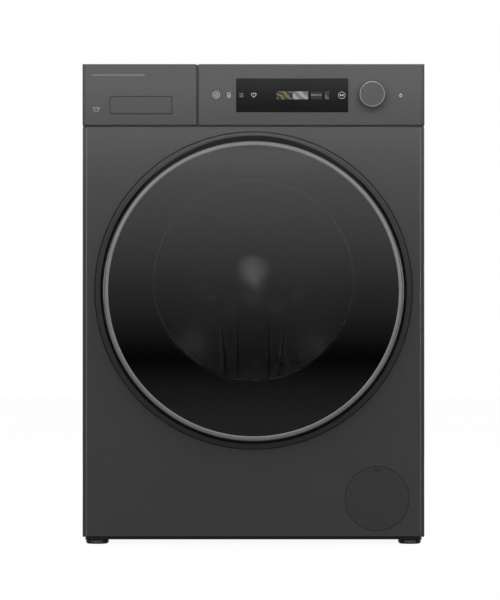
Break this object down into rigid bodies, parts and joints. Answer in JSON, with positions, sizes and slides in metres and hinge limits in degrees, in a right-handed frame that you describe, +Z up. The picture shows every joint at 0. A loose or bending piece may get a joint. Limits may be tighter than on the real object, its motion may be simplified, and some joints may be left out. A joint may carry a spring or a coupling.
{
  "type": "front load washing machine",
  "caption": "Freestanding front-loading washing machine with a round glass door, detergent drawer, display panel, program knob and filter flap.",
  "frame": {"origin": "on the floor, under the middle of the machine's bounding box", "axes": "+Z up, -Y out of the door at the front, +X to the machine's right side as seen from the front"},
  "size_m": [0.6, 0.645, 0.842],
  "materials": {
    "painted_panel": "satin graphite paint with fine metallic flake",
    "fascia_plastic": "satin graphite paint on moulded plastic",
    "black_plastic": "fine-grained black moulding",
    "grey_plastic": "light grey moulding",
    "lifter_plastic": "grey moulding",
    "tub_plastic": "filled polypropylene, grey",
    "tinted_glass": "smooth dark tinted glass",
    "bowl_glass": "smooth pressed glass",
    "trim_metal": "satin chromed ring",
    "stainless": "stainless steel, satin",
    "zinc_steel": "zinc-coated steel",
    "cast_aluminium": "as cast",
    "grey_rubber": "matt grey moulded rubber",
    "black_rubber": "matt black moulded rubber",
    "concrete": "cast concrete",
    "circuit_board": "green solder mask",
    "motor_iron": "laminated iron with copper windings"
  },
  "bodies": {
    "cabinet": {"front_panel": "painted_panel", "left_side_panel": "painted_panel", "right_side_panel": "painted_panel", "rear_panel": "zinc_steel", "rear_service_cover": "zinc_steel", "base_tray": "black_plastic", "top_panel": "fascia_plastic", "front_crossbar": "zinc_steel", "control_panel": "fascia_plastic", "display_window": "tinted_glass", "control_board": "circuit_board", "dispenser_housing": "grey_plastic", "dispenser_hose": "black_rubber", "water_inlet_valve": "grey_plastic", "power_cord_gland": "black_plastic", "door_lock": "black_plastic", "hinge_bracket": "zinc_steel", "hinge_pin": "zinc_steel", "door_gasket": "grey_rubber", "drain_pump": "grey_plastic", "sump_hose": "black_rubber", "damper_tube_left": "black_plastic", "damper_tube_right": "black_plastic", "suspension_spring_left": "zinc_steel", "suspension_spring_right": "zinc_steel"},
    "foot_front_left": {"foot_front_left": "black_rubber"},
    "foot_front_right": {"foot_front_right": "black_rubber"},
    "foot_rear_left": {"foot_rear_left": "black_rubber"},
    "foot_rear_right": {"foot_rear_right": "black_rubber"},
    "tub": {"tub_front": "tub_plastic", "tub_rear": "tub_plastic", "upper_counterweight": "concrete", "front_counterweight": "concrete", "front_bearing": "zinc_steel", "rear_bearing": "zinc_steel", "motor_stator": "motor_iron", "water_heater": "stainless", "damper_rod_left": "zinc_steel", "damper_rod_right": "zinc_steel"},
    "drum": {"drum_shell": "stainless", "drum_back": "stainless", "drum_spider": "cast_aluminium", "drum_shaft": "zinc_steel", "motor_rotor": "zinc_steel", "drum_lifter_1": "lifter_plastic", "drum_lifter_2": "lifter_plastic", "drum_lifter_3": "lifter_plastic"},
    "door": {"door_frame": "black_plastic", "door_trim_ring": "trim_metal", "door_glass": "tinted_glass", "door_bowl": "bowl_glass", "hinge_leaf": "zinc_steel"},
    "latch": {"latch_hook": "zinc_steel"},
    "drawer": {"drawer_front": "fascia_plastic", "detergent_tray": "grey_plastic"},
    "flap": {"drawer_flap": "fascia_plastic"},
    "knob": {"program_knob": "fascia_plastic"},
    "button": {"power_button": "fascia_plastic"},
    "filter_flap": {"filter_door": "fascia_plastic"},
    "filter": {"pump_filter": "grey_plastic"}
  },
  "joints": [
    {"name": "door_hinge", "type": "hinge", "parent": "cabinet", "child": "door", "pos_m": [-0.253, -0.306, 0.4445], "axis": [0, 0, -1], "range_deg": [0, 120]},
    {"name": "latch_pivot", "type": "hinge", "parent": "door", "child": "latch", "pos_m": [0.2325, -0.296, 0.4445], "axis": [-1, 0, 0], "range_deg": [0, 12], "stiffness_Nm_per_rad": 2, "springref_deg": -8.59},
    {"name": "drawer_slide", "type": "slide", "parent": "cabinet", "child": "drawer", "axis": [0, -1, 0], "range_m": [0, 0.23]},
    {"name": "flap_hinge", "type": "hinge", "parent": "drawer", "child": "flap", "pos_m": [-0.1971, -0.286, 0.7819], "axis": [1, 0, 0], "range_deg": [0, 40], "stiffness_Nm_per_rad": 0.08, "springref_deg": -11.46},
    {"name": "tub_suspension", "type": "slide", "parent": "cabinet", "child": "tub", "axis": [0, 0, 1], "range_m": [-0.008, 0.008], "stiffness_N_per_m": 12000, "springref_m": 0.03507, "deforming": ["suspension_spring_left", "suspension_spring_right", "door_gasket", "dispenser_hose", "sump_hose"]},
    {"name": "drum_spin", "type": "hinge", "parent": "tub", "child": "drum", "pos_m": [0, 0.25, 0.4625], "axis": [0, 1, 0], "continuous": true},
    {"name": "knob_turn", "type": "hinge", "parent": "cabinet", "child": "knob", "pos_m": [0.2077, -0.29, 0.7884], "axis": [0, 1, 0], "continuous": true},
    {"name": "power_press", "type": "slide", "parent": "cabinet", "child": "button", "axis": [0, 1, 0], "range_m": [0, 0.0012], "stiffness_N_per_m": 900, "springref_m": -0.0012},
    {"name": "filter_flap_hinge", "type": "hinge", "parent": "cabinet", "child": "filter_flap", "pos_m": [0.2165, -0.286, 0.0172], "axis": [1, 0, 0], "range_deg": [0, 90]},
    {"name": "filter_turn", "type": "hinge", "parent": "cabinet", "child": "filter", "pos_m": [0.2165, -0.26, 0.0798], "axis": [0, -1, 0], "range_deg": [0, 180]},
    {"name": "foot_front_left_adjust", "type": "slide", "parent": "cabinet", "child": "foot_front_left", "axis": [0, 0, -1], "range_m": [0, 0.012]},
    {"name": "foot_front_right_adjust", "type": "slide", "parent": "cabinet", "child": "foot_front_right", "axis": [0, 0, -1], "range_m": [0, 0.012]},
    {"name": "foot_rear_left_adjust", "type": "slide", "parent": "cabinet", "child": "foot_rear_left", "axis": [0, 0, -1], "range_m": [0, 0.012]},
    {"name": "foot_rear_right_adjust", "type": "slide", "parent": "cabinet", "child": "foot_rear_right", "axis": [0, 0, -1], "range_m": [0, 0.012]}
  ]
}
